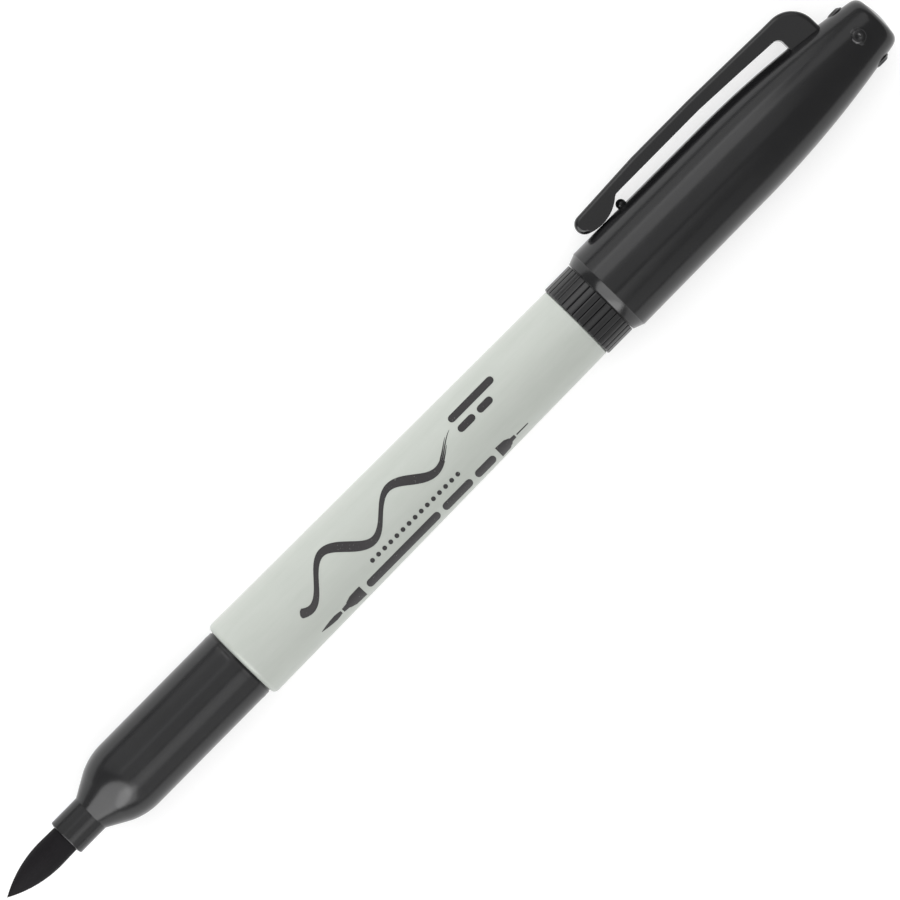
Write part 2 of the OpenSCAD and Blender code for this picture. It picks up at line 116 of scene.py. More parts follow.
# %% Modelling tools
def alone(obj):
    """Selects one object only, and makes it the active one."""
    bpy.ops.object.select_all(action="DESELECT")
    obj.select_set(True)
    bpy.context.view_layer.objects.active = obj


def pick(obj, test, kind="VERT"):
    """In edit mode, selects the points, edges or faces that pass a test, and says how many."""
    bpy.ops.mesh.select_mode(type=kind)
    bpy.ops.mesh.select_all(action="DESELECT")
    mesh = bmesh.from_edit_mesh(obj.data)
    chosen = [p for p in {"VERT": mesh.verts, "EDGE": mesh.edges, "FACE": mesh.faces}[kind] if test(p)]
    for part in chosen:
        part.select_set(True)
    bmesh.update_edit_mesh(obj.data)
    return len(chosen)


def arc(centre, radius, start, end, steps=8):
    """Points on an arc in the outline's plane, with angles in degrees from the +X direction."""
    turn = [math.radians(start + (end - start) * i / steps) for i in range(steps + 1)]
    return [(centre[0] + radius * math.cos(a), centre[1] + radius * math.sin(a)) for a in turn]


def eased(before, corner, after, steps=5):
    """A corner rounded by a curve that leaves towards the corner and arrives from it."""
    made = []
    for i in range(steps + 1):
        t = i / steps
        made.append(tuple((1 - t) ** 2 * a + 2 * t * (1 - t) * b + t * t * c
                          for a, b, c in zip(before, corner, after)))
    return made


def turned(name, outline, steps=TURN_STEPS):
    """Spins an outline of (place along X, radius) points about the pen's axis into a closed shell."""
    bpy.ops.object.select_all(action="DESELECT")
    bpy.ops.mesh.primitive_plane_add(size=MM, location=(0, 0, 0))
    obj = bpy.context.object
    obj.name = name
    bpy.ops.object.mode_set(mode="EDIT")
    bpy.ops.mesh.merge(type="CENTER")
    bpy.ops.transform.translate(value=(outline[0][0] * MM, 0, outline[0][1] * MM))
    for (x0, r0), (x1, r1) in zip(outline, outline[1:]):
        step = ((x1 - x0) * MM, 0, (r1 - r0) * MM)
        bpy.ops.mesh.extrude_vertices_move(TRANSFORM_OT_translate={"value": step})
    bpy.ops.mesh.select_all(action="SELECT")
    bpy.ops.mesh.spin(steps=steps, angle=math.tau, center=(0, 0, 0), axis=(1, 0, 0))
    bpy.ops.mesh.select_all(action="SELECT")
    bpy.ops.mesh.remove_doubles(threshold=0.0002 * MM)
    bpy.ops.mesh.normals_make_consistent(inside=False)
    bpy.ops.object.mode_set(mode="OBJECT")
    return obj


def break_edges(obj, width, steps=2, angle=24):
    """Breaks the sharp edges by a small radius, as every mould does, and keeps the flats flat."""
    alone(obj)
    bevel = obj.modifiers.new("broken_edges", "BEVEL")
    bevel.width = width * MM
    bevel.segments = steps
    bevel.limit_method = "ANGLE"
    bevel.angle_limit = math.radians(angle)
    bpy.ops.object.modifier_apply(modifier=bevel.name)


def smooth(obj, angle=40):
    """Smooth shading, with each face's own direction counting by its area."""
    alone(obj)
    bpy.ops.object.shade_smooth_by_angle(angle=math.radians(angle))
    weighted = obj.modifiers.new("weighted_normals", "WEIGHTED_NORMAL")
    weighted.keep_sharp = True
    bpy.ops.object.modifier_apply(modifier=weighted.name)
    print(f"{obj.name}: {len(obj.data.polygons)} faces")
    return obj


# %% [markdown]
# ## Finishes
# Every finish below is built from nodes on Object coordinates. The object's own axes run along the pen, so a
# pattern can be stretched along it, as moulded plastic and drawn fibre are. One function turns the hex
# colours of a paint card to the linear numbers that light is worked out in, and one adds a node.

# %% Colour and node helpers
def colour(code):
    """An sRGB hex colour as linear red, green, blue and alpha."""
    parts = [int(code[i:i + 2], 16) / 255 for i in (1, 3, 5)]
    return (*[c / 12.92 if c <= 0.04045 else ((c + 0.055) / 1.055) ** 2.4 for c in parts], 1)


def add(tree, kind, settings=None, inputs=None):
    """Adds a node, with its settings, and its inputs as values or as links from other nodes' outputs."""
    made = tree.nodes.new(kind)
    for name, value in (settings or {}).items():
        setattr(made, name, value)
    for name, value in (inputs or {}).items():
        if isinstance(value, bpy.types.NodeSocket):
            tree.links.new(value, made.inputs[name])
        else:
            made.inputs[name].default_value = value
    return made


def new_material(name):
    """An empty node material, its tree and the socket for its surface."""
    material = bpy.data.materials.new(name)
    material.use_nodes = True
    tree = material.node_tree
    tree.nodes.clear()
    output = add(tree, "ShaderNodeOutputMaterial")
    return material, tree, output.inputs["Surface"]


def per_mm(size):
    """The noise scale that gives marks of this size in millimetres."""
    return 1 / (size * MM)


# %% [markdown]
# ### Black polypropylene, injection moulded
# The section, collar, cap and clip are moulded in polypropylene coloured with carbon black. It gives the eye
# a deep charcoal with a soft gloss: broad blurred stripes of light along the pen, and a bright rim where the
# surface turns away. Close up there is a faint flow pattern drawn out along the mould, an even grain of
# about 0.12 mm, and slightly uneven gloss where hands have polished it.

# %% Black polypropylene
def black_polypropylene(name, dark, light, gloss):
    material, tree, surface = new_material(name)
    place = add(tree, "ShaderNodeTexCoord").outputs["Object"]
    along = add(tree, "ShaderNodeMapping", inputs={"Vector": place, "Scale": (0.08, 1, 1)}).outputs["Vector"]
    flow = add(tree, "ShaderNodeTexNoise",
               inputs={"Vector": along, "Scale": per_mm(0.5), "Detail": 4.0, "Roughness": 0.55})
    clouds = add(tree, "ShaderNodeTexNoise",
                 inputs={"Vector": place, "Scale": per_mm(3.0), "Detail": 3.0, "Roughness": 0.6})
    grain = add(tree, "ShaderNodeTexNoise",
                inputs={"Vector": place, "Scale": per_mm(0.12), "Detail": 2.0, "Roughness": 0.5})
    tone = add(tree, "ShaderNodeMix", {"data_type": "RGBA"},
               {0: clouds.outputs["Fac"], 6: colour(dark), 7: colour(light)})
    polish = add(tree, "ShaderNodeMath", {"operation": "ADD"},
                 {0: flow.outputs["Fac"], 1: clouds.outputs["Fac"]})
    roughness = add(tree, "ShaderNodeMapRange",
                    inputs={"Value": polish.outputs["Value"], "From Min": 0.7, "From Max": 1.3,
                            "To Min": gloss - 0.02, "To Max": gloss + 0.02})
    flow_bump = add(tree, "ShaderNodeBump",
                    inputs={"Strength": 0.08, "Distance": 0.006 * MM, "Height": flow.outputs["Fac"]})
    bump = add(tree, "ShaderNodeBump",
               inputs={"Strength": 0.25, "Distance": 0.003 * MM, "Height": grain.outputs["Fac"],
                       "Normal": flow_bump.outputs["Normal"]})
    shader = add(tree, "ShaderNodeBsdfPrincipled",
                 inputs={"Base Color": tone.outputs[2], "Roughness": roughness.outputs["Result"],
                         "IOR": 1.49, "Specular IOR Level": 0.44, "Normal": bump.outputs["Normal"]})
    tree.links.new(shader.outputs["BSDF"], surface)
    return material


section_black = black_polypropylene("moulded_polypropylene_black", "#151516", "#1c1c1d", 0.21)
cap_black = black_polypropylene("moulded_polypropylene_cap_black", "#131314", "#19191a", 0.19)
print("black finishes:", section_black.name, cap_black.name)

# %% [markdown]
# ### Grey polypropylene, injection moulded
# The barrel is the same plastic, filled with white and a little green-grey pigment. It is paler and a touch
# less glossy, so its stripes of light are soft and wide. Pigment never mixes quite evenly: clouds a few
# millimetres long shift the tone by one or two per cent.

# %% Grey polypropylene
def grey_polypropylene(name):
    material, tree, surface = new_material(name)
    place = add(tree, "ShaderNodeTexCoord").outputs["Object"]
    along = add(tree, "ShaderNodeMapping", inputs={"Vector": place, "Scale": (0.15, 1, 1)}).outputs["Vector"]
    flow = add(tree, "ShaderNodeTexNoise",
               inputs={"Vector": along, "Scale": per_mm(0.9), "Detail": 5.0, "Roughness": 0.6})
    grain = add(tree, "ShaderNodeTexNoise",
                inputs={"Vector": place, "Scale": per_mm(0.15), "Detail": 2.0, "Roughness": 0.5})
    tone = add(tree, "ShaderNodeMix", {"data_type": "RGBA"},
               {0: flow.outputs["Fac"], 6: colour("#abb0a9"), 7: colour("#b5b9b3")})
    roughness = add(tree, "ShaderNodeMapRange",
                    inputs={"Value": flow.outputs["Fac"], "From Min": 0.3, "From Max": 0.7,
                            "To Min": 0.29, "To Max": 0.36})
    bump = add(tree, "ShaderNodeBump",
               inputs={"Strength": 0.25, "Distance": 0.004 * MM, "Height": grain.outputs["Fac"]})
    shader = add(tree, "ShaderNodeBsdfPrincipled",
                 inputs={"Base Color": tone.outputs[2], "Roughness": roughness.outputs["Result"],
                         "IOR": 1.49, "Normal": bump.outputs["Normal"]})
    tree.links.new(shader.outputs["BSDF"], surface)
    return material


barrel_grey = grey_polypropylene("moulded_polypropylene_grey")
print("barrel finish:", barrel_grey.name)

# %% [markdown]
# ### Pad-printed ink
# The barrel's print is a film of charcoal ink, pressed on by a soft pad. It is less glossy than the plastic,
# and the pad leaves fine mottling and a few pinholes, which are drawn here at about 0.15 mm.

# %% Pad-printed ink
def printed_ink(name):
    material, tree, surface = new_material(name)
    place = add(tree, "ShaderNodeTexCoord").outputs["Object"]
    mottle = add(tree, "ShaderNodeTexNoise",
                 inputs={"Vector": place, "Scale": per_mm(0.25), "Detail": 4.0, "Roughness": 0.6})
    pinholes = add(tree, "ShaderNodeTexNoise",
                   inputs={"Vector": place, "Scale": per_mm(0.15), "Detail": 1.0, "Roughness": 0.4})
    thin = add(tree, "ShaderNodeMapRange",
               inputs={"Value": pinholes.outputs["Fac"], "From Min": 0.72, "From Max": 0.8})
    tone = add(tree, "ShaderNodeMix", {"data_type": "RGBA"},
               {0: mottle.outputs["Fac"], 6: colour("#1c191b"), 7: colour("#262325")})
    ink = add(tree, "ShaderNodeMix", {"data_type": "RGBA"},
              {0: thin.outputs["Result"], 6: tone.outputs[2], 7: colour("#7d7f7b")})
    bump = add(tree, "ShaderNodeBump",
               inputs={"Strength": 0.3, "Distance": 0.004 * MM, "Height": mottle.outputs["Fac"]})
    shader = add(tree, "ShaderNodeBsdfPrincipled",
                 inputs={"Base Color": ink.outputs[2], "Roughness": 0.48, "IOR": 1.47,
                         "Normal": bump.outputs["Normal"]})
    tree.links.new(shader.outputs["BSDF"], surface)
    return material


print_ink = printed_ink("pad_printed_ink")
print("print finish:", print_ink.name)

# %% [markdown]
# ### Bonded polyester fibre, soaked in ink
# Both nibs are polyester fibres, drawn in line, bonded with resin and ground to shape. Soaked in black dye
# ink they are almost black, with a plum tint where the dye is thin, and matt, with a fine streaky nap. The
# fibres are 0.02 mm thick in life; they are drawn 0.06 mm apart here so that they show.

# %% Bonded fibre
def bonded_fibre(name, dark, tint, spacing):
    material, tree, surface = new_material(name)
    place = add(tree, "ShaderNodeTexCoord").outputs["Object"]
    along = add(tree, "ShaderNodeMapping", inputs={"Vector": place, "Scale": (0.06, 1, 1)}).outputs["Vector"]
    fibres = add(tree, "ShaderNodeTexNoise",
                 inputs={"Vector": along, "Scale": per_mm(spacing), "Detail": 3.0, "Roughness": 0.65})
    nap = add(tree, "ShaderNodeTexNoise",
              inputs={"Vector": place, "Scale": per_mm(spacing * 1.5), "Detail": 4.0, "Roughness": 0.7})
    streaks = add(tree, "ShaderNodeMath", {"operation": "MULTIPLY"},
                  {0: fibres.outputs["Fac"], 1: nap.outputs["Fac"]})
    share = add(tree, "ShaderNodeMapRange",
                inputs={"Value": streaks.outputs["Value"], "From Min": 0.12, "From Max": 0.42})
    tone = add(tree, "ShaderNodeMix", {"data_type": "RGBA"},
               {0: share.outputs["Result"], 6: colour(dark), 7: colour(tint)})
    bump = add(tree, "ShaderNodeBump",
               inputs={"Strength": 0.7, "Distance": 0.03 * MM, "Height": streaks.outputs["Value"]})
    shader = add(tree, "ShaderNodeBsdfPrincipled",
                 inputs={"Base Color": tone.outputs[2], "Roughness": 0.78, "IOR": 1.45,
                         "Specular IOR Level": 0.2, "Sheen Weight": 0.04, "Sheen Roughness": 0.4,
                         "Sheen Tint": colour("#5d5264"), "Normal": bump.outputs["Normal"]})
    tree.links.new(shader.outputs["BSDF"], surface)
    return material


nib_fibre = bonded_fibre("bonded_polyester_fibre_inked", "#080709", "#151216", 0.06)
core_fibre = bonded_fibre("polyester_sliver_ink_filled", "#1d1a24", "#463d55", 0.12)
print("fibre finishes:", nib_fibre.name, core_fibre.name)

# %% [markdown]
# ### The hidden plastics and the film
# The tube that holds the fine nib is acetal, a slippery engineering plastic with a waxy sheen. The seal in
# the cap is soft polyethylene, left its natural milky grey, which lets a little light in. The ink core is
# wrapped in clear polyester film, 0.12 mm thick, with the faint lengthwise lines of its roll.

# %% Acetal, polyethylene and polyester film
def waxy_plastic(name, dark, light, gloss, depth):
    material, tree, surface = new_material(name)
    place = add(tree, "ShaderNodeTexCoord").outputs["Object"]
    clouds = add(tree, "ShaderNodeTexNoise",
                 inputs={"Vector": place, "Scale": per_mm(1.2), "Detail": 3.0, "Roughness": 0.5})
    grain = add(tree, "ShaderNodeTexNoise",
                inputs={"Vector": place, "Scale": per_mm(0.1), "Detail": 2.0, "Roughness": 0.5})
    tone = add(tree, "ShaderNodeMix", {"data_type": "RGBA"},
               {0: clouds.outputs["Fac"], 6: colour(dark), 7: colour(light)})
    bump = add(tree, "ShaderNodeBump",
               inputs={"Strength": 0.3, "Distance": 0.003 * MM, "Height": grain.outputs["Fac"]})
    shader = add(tree, "ShaderNodeBsdfPrincipled",
                 inputs={"Base Color": tone.outputs[2], "Roughness": gloss, "IOR": 1.51,
                         "Subsurface Weight": depth, "Subsurface Scale": 0.4 * MM,
                         "Normal": bump.outputs["Normal"]})
    tree.links.new(shader.outputs["BSDF"], surface)
    return material


def polyester_film(name):
    material, tree, surface = new_material(name)
    place = add(tree, "ShaderNodeTexCoord").outputs["Object"]
    along = add(tree, "ShaderNodeMapping", inputs={"Vector": place, "Scale": (0.03, 1, 1)}).outputs["Vector"]
    lines = add(tree, "ShaderNodeTexNoise",
                inputs={"Vector": along, "Scale": per_mm(0.3), "Detail": 3.0, "Roughness": 0.5})
    roughness = add(tree, "ShaderNodeMapRange",
                    inputs={"Value": lines.outputs["Fac"], "From Min": 0.3, "From Max": 0.7,
                            "To Min": 0.06, "To Max": 0.16})
    bump = add(tree, "ShaderNodeBump",
               inputs={"Strength": 0.2, "Distance": 0.004 * MM, "Height": lines.outputs["Fac"]})
    shader = add(tree, "ShaderNodeBsdfPrincipled",
                 inputs={"Base Color": colour("#e6e9ea"), "Roughness": roughness.outputs["Result"],
                         "IOR": 1.57, "Transmission Weight": 0.92, "Normal": bump.outputs["Normal"]})
    tree.links.new(shader.outputs["BSDF"], surface)
    return material


holder_acetal = waxy_plastic("moulded_acetal_dark_grey", "#343436", "#3f3f42", 0.34, 0.0)
seal_polyethylene = waxy_plastic("moulded_polyethylene_natural", "#a2a6a6", "#b3b6b4", 0.42, 0.3)
wrap_film = polyester_film("rolled_polyester_film_clear")
print("hidden finishes:", holder_acetal.name, seal_polyethylene.name, wrap_film.name)


# %% [markdown]
# ## Handing a piece over
# A finished piece gets its finish, rides on the body that carries it, and stands for the engineering nodes
# that it covers, which are then not shown.

# %% Handing over
def hand_over(obj, material, body, slot, *nodes):
    obj.data.materials.clear()
    obj.data.materials.append(material)
    if body:
        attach(obj, body)
    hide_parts(*nodes)
    return obj


# %% [markdown]
# ## The barrel
# A long tube, tapering from the brush end to the fine end so that it leaves its mould. Its brush end has a
# rounded rim that stands proud of the section. Each end has a socket for a plug, with a step that stops it.
# The outline goes round the wall once, so the tube is one closed shell.

# %% Barrel
barrel_r = widest("barrel")
barrel_fine_r = ring_radius("barrel", barrel_end_x)
brush_socket_wall = 1.1
fine_socket_wall = 0.72
socket_step = 0.2
brush_socket_r = barrel_r - brush_socket_wall
fine_socket_r = barrel_fine_r - fine_socket_wall
bore_r = fine_socket_r - socket_step
rim = 0.7
end_edge = 0.12

barrel = turned("barrel_tube", [
    *arc((barrel_x + rim, barrel_r - rim), rim, 180, 90, 8),
    (barrel_end_x - end_edge, barrel_fine_r),
    (barrel_end_x, barrel_fine_r - end_edge),
    (barrel_end_x, fine_socket_r),
    (fine_plug_x, fine_socket_r),
    (fine_plug_x, bore_r),
    (brush_plug_end_x, bore_r),
    (brush_plug_end_x, brush_socket_r),
    (barrel_x, brush_socket_r),
    (barrel_x, barrel_r - rim),
])
smooth(barrel)
hand_over(barrel, barrel_grey, "pen", "barrel_plastic", "barrel")

# %% [markdown]
# ## The brush section
# The black nozzle that holds the brush nib. From the mouth back it is a short neck, a shoulder that swells in
# a long curve, and a straight part that the other cap slides over. It flares a little just before the
# barrel, and a fine groove there throws the thin dark ring between the two colours.

# %% Brush section
nib_r = widest("brush_nib")
nib_shank_r = ring_radius("brush_nib", mouth_x)
neck_r = ring_radius("brush_section", mouth_x)
section_r = ring_radius("brush_section", 0)
neck_l = 4.4
shoulder_l = 18.8
shoulder_curve_r = 8.7
shoulder_angle = 27
flare_l = 0.95
flare_r = widest("brush_section")
nib_bore_r = nib_shank_r + 0.02
core_bore_r = widest("reservoir_wrap") + 0.08
section_outline = [
    (mouth_x + 0.1, nib_bore_r),
    (mouth_x, nib_bore_r + 0.07),
    (mouth_x + 0.02, nib_bore_r + 0.16),
    (mouth_x + 0.15, neck_r - 0.05),
    (mouth_x + 0.24, neck_r),
    (mouth_x + neck_l, neck_r),
    *arc((-shoulder_l, section_r - shoulder_curve_r), shoulder_curve_r, 90 + shoulder_angle, 90, 14),
    (-flare_l, section_r),
    *eased((-flare_l * 0.5, section_r + 0.03), (-0.12, flare_r - 0.02), (0.02, flare_r), 3),
    (0.24, flare_r),
    (0.3, flare_r - 0.05),
    (0.3, section_r - 0.12),
    (barrel_x - 0.02, section_r - 0.12),
    (barrel_x - 0.02, brush_socket_r - 0.02),
    (brush_plug_end_x - 0.3, brush_socket_r - 0.02),
    (brush_plug_end_x, brush_socket_r - 0.2),
    (brush_plug_end_x, core_bore_r),
    (core_x - 2, core_bore_r),
    (core_x - 7, nib_bore_r),
    (mouth_x + 0.1, nib_bore_r),
]
section = turned("brush_section_moulding", section_outline)
break_edges(section, 0.05)
smooth(section)
hand_over(section, section_black, "pen", "black_plastic", "brush_section")

# %% [markdown]
# ## The brush nib
# A bullet of bonded fibre, ground to a point. Its side is one long arc that ends in a tip finer than a
# tenth of a millimetre. The fibres run along it and come together at the tip, so every third line of points
# is pulled in by about one per cent: shallow flutes that fade out where the nib enters the neck.

# %% Brush nib
nib_point_l = 7.5
nib_wide_x = nib_tip_x + nib_point_l
nib_curve_r = (nib_point_l ** 2 + nib_r ** 2) / (2 * nib_r)
NIB_LINES = 32


def nib_radius(x):
    """The radius of the ground point at a place along the pen."""
    return nib_r - nib_curve_r + math.sqrt(nib_curve_r ** 2 - (x - nib_wide_x) ** 2)


point_places = [nib_tip_x + 0.06 + (nib_point_l - 0.06) * (i / 22) ** 1.2 for i in range(23)]
tail_r = 0.8
nib = turned("brush_nib_felt", [
    (nib_tip_x, 0),
    (nib_tip_x + 0.015, 0.018),
    *[(x, max(nib_radius(x), 0.02)) for x in point_places],
    (mouth_x - 1.4, (nib_r + nib_shank_r) / 2),
    (mouth_x - 0.2, nib_shank_r),
    (core_x, nib_shank_r),
    (nib_tail_end_x, tail_r),
    (nib_tail_end_x, 0),
], steps=3 * NIB_LINES)
alone(nib)
bpy.ops.object.mode_set(mode="EDIT")
line_angle = math.tau / NIB_LINES
for depth, reach in ((0.996, 0.2), (0.993, 2.2)):
    flutes = pick(nib, lambda v: nib_tip_x + 0.1 < v.co.x / MM < mouth_x - reach
                  and abs(math.remainder(math.atan2(v.co.y, v.co.z), line_angle)) < line_angle / 9)
    bpy.ops.transform.resize(value=(1, depth, depth), center_override=(0, 0, 0))
bpy.ops.object.mode_set(mode="OBJECT")
print("points in the flutes:", flutes)
smooth(nib, 60)
hand_over(nib, nib_fibre, "pen", "inked_fibre", "brush_nib")

# %% [markdown]
# ## The fine section and its ribbed collar
# At the other end the nozzle starts with a collar of fine ribs, to turn the pen out of its cap by. Behind the
# collar are the seat for the cap, a cone, and the nozzle that holds the fine nib. The whole piece is spun
# with twelve points to each rib. Then the points on the grooves are pulled in towards the axis, and their
# neighbours a little, so each rib has a flat land with softened sides, all in one closed shell.

# %% Fine section
COLLAR_RIBS = 36
POINTS_PER_RIB = 12
collar_x = barrel_end_x
collar_end_x = cap_x - 0.1
collar_r = widest("fine_section")
seat_r = collar_r - 0.46
rib_bevel = 0.14
seat_l, cone_l, nozzle_l = 6.5, 3.8, 4.2
seat_end_x = collar_end_x + seat_l
nozzle_x = seat_end_x + cone_l
nozzle_end_x = nozzle_x + nozzle_l
nozzle_r = 2.35
holder_bore_r = widest("fine_nib_holder") + 0.02
fine_section = turned("fine_section_moulding", [
    (fine_plug_x, core_bore_r),
    (fine_plug_x, fine_socket_r - 0.2),
    (fine_plug_x + 0.3, fine_socket_r - 0.02),
    (collar_x + 0.02, fine_socket_r - 0.02),
    (collar_x + 0.02, collar_r - 0.34),
    (collar_x + 0.02, collar_r - rib_bevel),
    (collar_x + 0.02 + rib_bevel, collar_r),
    (collar_end_x - 0.06, collar_r),
    (collar_end_x, collar_r - 0.06),
    (collar_end_x, collar_r - 0.34),
    (collar_end_x, seat_r),
    (seat_end_x - 0.3, seat_r),
    *eased((seat_end_x - 0.2, seat_r), (seat_end_x, seat_r), (seat_end_x + 0.15, seat_r - 0.1), 3),
    *eased((nozzle_x - 0.25, nozzle_r + 0.16), (nozzle_x, nozzle_r), (nozzle_x + 0.3, nozzle_r), 4),
    (nozzle_end_x - 0.1, nozzle_r),
    (nozzle_end_x + 0.08, nozzle_r - 0.05),
    (nozzle_tip_x - 0.08, holder_bore_r + 0.33),
    (nozzle_tip_x, holder_bore_r + 0.24),
    (nozzle_tip_x, holder_bore_r),
    (seat_end_x + 1.5, holder_bore_r),
    (core_end_x + 1, core_bore_r),
    (fine_plug_x, core_bore_r),
], steps=COLLAR_RIBS * POINTS_PER_RIB)
alone(fine_section)
bpy.ops.object.mode_set(mode="EDIT")
rib_angle = math.tau / COLLAR_RIBS
point_angle = rib_angle / POINTS_PER_RIB


def on_collar(v, offset):
    """True for a point of the collar's skin that lies this many points away from a groove's middle."""
    x, r = v.co.x / MM, math.hypot(v.co.y, v.co.z) / MM
    turn = math.remainder(math.atan2(v.co.y, v.co.z), rib_angle)
    on_skin = collar_x < x < collar_end_x + 0.01 and r > collar_r - 0.2
    return on_skin and abs(abs(turn) - offset * point_angle) < point_angle / 4


for offset, depth in ((0, 0.17), (1, 0.035)):
    count = pick(fine_section, lambda v: on_collar(v, offset))
    inward = 1 - depth / collar_r
    bpy.ops.transform.resize(value=(1, inward, inward), center_override=(0, 0, 0))
    print(f"{count} points moved in by {depth} mm")
bpy.ops.object.mode_set(mode="OBJECT")
smooth(fine_section, 28)
hand_over(fine_section, section_black, "pen", "black_plastic", "fine_section")

# %% [markdown]
# ## The cap
# A push-on cap: a straight skirt with a bevelled mouth, then one long curve that narrows to the closed end.
# The end face is slightly domed and has a small dimple where the plastic was let into the mould. The outline
# starts on the axis inside, runs out along the hollow, turns round the mouth and comes back outside, so the
# wall has its real thickness all over.

# %% Cap
cap_r = widest("cap")
cap_waist_r = cap_r - 0.08
cap_waist_x = cap_x + 22.3
cap_tail_r = 3.475
cap_wall = 1.05
bevel_l = 1.3
bore_end_x = seat_end_x + 1.6
cap_bore_r = seat_r + 0.05
curve_l = cap_end_x - cap_waist_x
curve_drop = cap_waist_r - cap_tail_r
cap_curve_r = (curve_l ** 2 + curve_drop ** 2) / (2 * curve_drop)
hollow_end_x = cap_end_x - 1.5
dome_r = 10


def cap_radius(x, depth=0):
    """The cap's radius at a place along the long curve, or the radius at a depth under its skin."""
    return cap_waist_r - cap_curve_r + math.sqrt((cap_curve_r - depth) ** 2 - (x - cap_waist_x) ** 2)


def spread(start, end, steps):
    """Evenly spaced places from start to end."""
    return [start + (end - start) * i / steps for i in range(steps + 1)]


corner_start_x = cap_end_x - 1.75
corner_end_r = 2.35
dome_x = cap_end_x - dome_r
corner_end_x = dome_x + math.sqrt(dome_r ** 2 - corner_end_r ** 2)
gate_r = 0.45
cap = turned("cap_shell", [
    (hollow_end_x, 0),
    (hollow_end_x, cap_radius(hollow_end_x, cap_wall) - 0.3),
    (hollow_end_x - 0.3, cap_radius(hollow_end_x - 0.3, cap_wall)),
    *[(x, cap_radius(x, cap_wall)) for x in reversed(spread(cap_waist_x, hollow_end_x - 1.2, 14))],
    (bore_end_x, cap_bore_r),
    (cap_x + 0.2, cap_bore_r),
    (cap_x, cap_bore_r + 0.1),
    (cap_x, cap_bore_r + 0.40),
    (cap_x + 0.06, cap_bore_r + 0.48),
    (cap_x + bevel_l - 0.06, cap_r - 0.08),
    (cap_x + bevel_l, cap_r - 0.01),
    (cap_x + bevel_l + 0.05, cap_r),
    (cap_x + bevel_l + 8, cap_r - 0.03),
    *[(x, cap_radius(x)) for x in spread(cap_waist_x, corner_start_x, 24)],
    *eased((corner_start_x + 0.1, cap_radius(corner_start_x + 0.1)),
           (cap_end_x - 0.28, cap_radius(cap_end_x - 0.5) + 0.02), (corner_end_x, corner_end_r), 9),
    *[(dome_x + math.sqrt(dome_r ** 2 - r ** 2), r) for r in (1.9, 1.4, 1.0, gate_r + 0.12)],
    (cap_end_x - 0.08, gate_r),
    (cap_end_x - 0.14, gate_r - 0.1),
    (cap_end_x - 0.14, 0.15),
    (cap_end_x - 0.09, 0.09),
    (cap_end_x - 0.08, 0),
])
print(f"cap radius at the waist {cap_waist_r:.2f} mm")

# %% [markdown]
# ### Bosses and stop
# Four small buttons near the closed end grip the other cap when it is pushed on there. A button is turned
# on its own, as a shallow dome with a dimple and a foot that flows into the cap's side. It is then stood up
# and copied round the cap. The stop, a round knob under the clip that holds back a pocket's cloth, is made
# in the same way. They are moulded with the cap, so they are joined to it.

# %% Bosses and stop
boss_from_end = 3.75
stop_from_mouth = 9.7


def stand_on_cap(name, outline, x, seat_at, turn):
    """Turns an outline of (height, radius), stands it on the cap at x, and turns it round the pen."""
    made = turned(name, outline, steps=40)
    bpy.ops.object.mode_set(mode="EDIT")
    bpy.ops.mesh.select_all(action="SELECT")
    bpy.ops.transform.translate(value=(seat_at * MM, 0, 0))
    bpy.ops.transform.rotate(value=-math.pi / 2, orient_axis="Z", center_override=(0, 0, 0))
    bpy.ops.transform.translate(value=(x * MM, 0, 0))
    bpy.ops.transform.rotate(value=turn, orient_axis="X", center_override=(0, 0, 0))
    bpy.ops.object.mode_set(mode="OBJECT")
    return made


boss_outline = [
    (-0.5, 0), (-0.5, 1.2), (-0.06, 1.2),
    *eased((-0.01, 1.14), (0.02, 1.0), (0.1, 0.94), 4),
    *eased((0.12, 0.92), (0.27, 0.8), (0.29, 0.5), 7),
    *eased((0.288, 0.44), (0.28, 0.34), (0.22, 0.26), 4),
    (0.19, 0.14), (0.18, 0),
]
stop_outline = [
    (-0.4, 0), (-0.4, 0.6),
    *arc((0.19, 0), 0.66, 110, 0, 14),
]
boss_x = cap_end_x - boss_from_end
boss_lean = cap_radius(boss_x) - 0.02
details = [stand_on_cap(f"boss_{i}", boss_outline, boss_x, boss_lean, i * math.pi / 2) for i in range(4)]
stop_x = cap_x + stop_from_mouth
details.append(stand_on_cap("clip_stop", stop_outline, stop_x, cap_r - 0.04, 0))
print(f"{len(details)} details, the bosses where the cap's radius is {cap_radius(boss_x):.2f} mm")
alone(cap)
for detail in details:
    detail.select_set(True)
bpy.ops.object.join()
smooth(cap, 30)
hand_over(cap, cap_black, "cap", "cap_plastic", "cap")

# %% [markdown]
# ## The pocket clip
# The clip is one springy bar, moulded with the cap: a root sunk in the cap's side, a long arm, and a round
# nose with a pad that rests on the cap. Its shape is all in its side view, so that is drawn first, as a
# closed outline of arcs and straight runs, filled, and extruded to the clip's width. The width then tapers
# to the tip. Last, the outer edge and the nose get a wide rounding that is kind to a pocket's cloth, and the
# other edges a small one. The pad and the nose are arcs that touch without a corner, so the pad's place is
# worked out from their radii. The arm bends near its root when it opens, so that stretch has close points.

# %% Outline of the clip
clip_low, clip_high = (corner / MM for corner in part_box("cap_clip"))
clip_tip_x, clip_out = clip_low.x, clip_high.y
root_l = 4.5
root_from_end = 6.1
clip_root_x = cap_end_x - root_from_end - root_l
clip_root_end_x = clip_root_x + root_l
arm_t = 1.8
arm_in = clip_out - arm_t
nose_r = 1.25
nose_drop = 0.44
nose_slope_l = 11
pad_r = 5.2
pad_gap = 0.004
taper_l = 13
root_drop = 0.3
root_t = 2.16
root_in = clip_out - root_drop - root_t
corner_r = 3.6
slot_r = 0.88
tip_w, root_w = 3.4, 4.4
bend_end_x = clip_root_x - 6
bend_share = 7 / taper_l


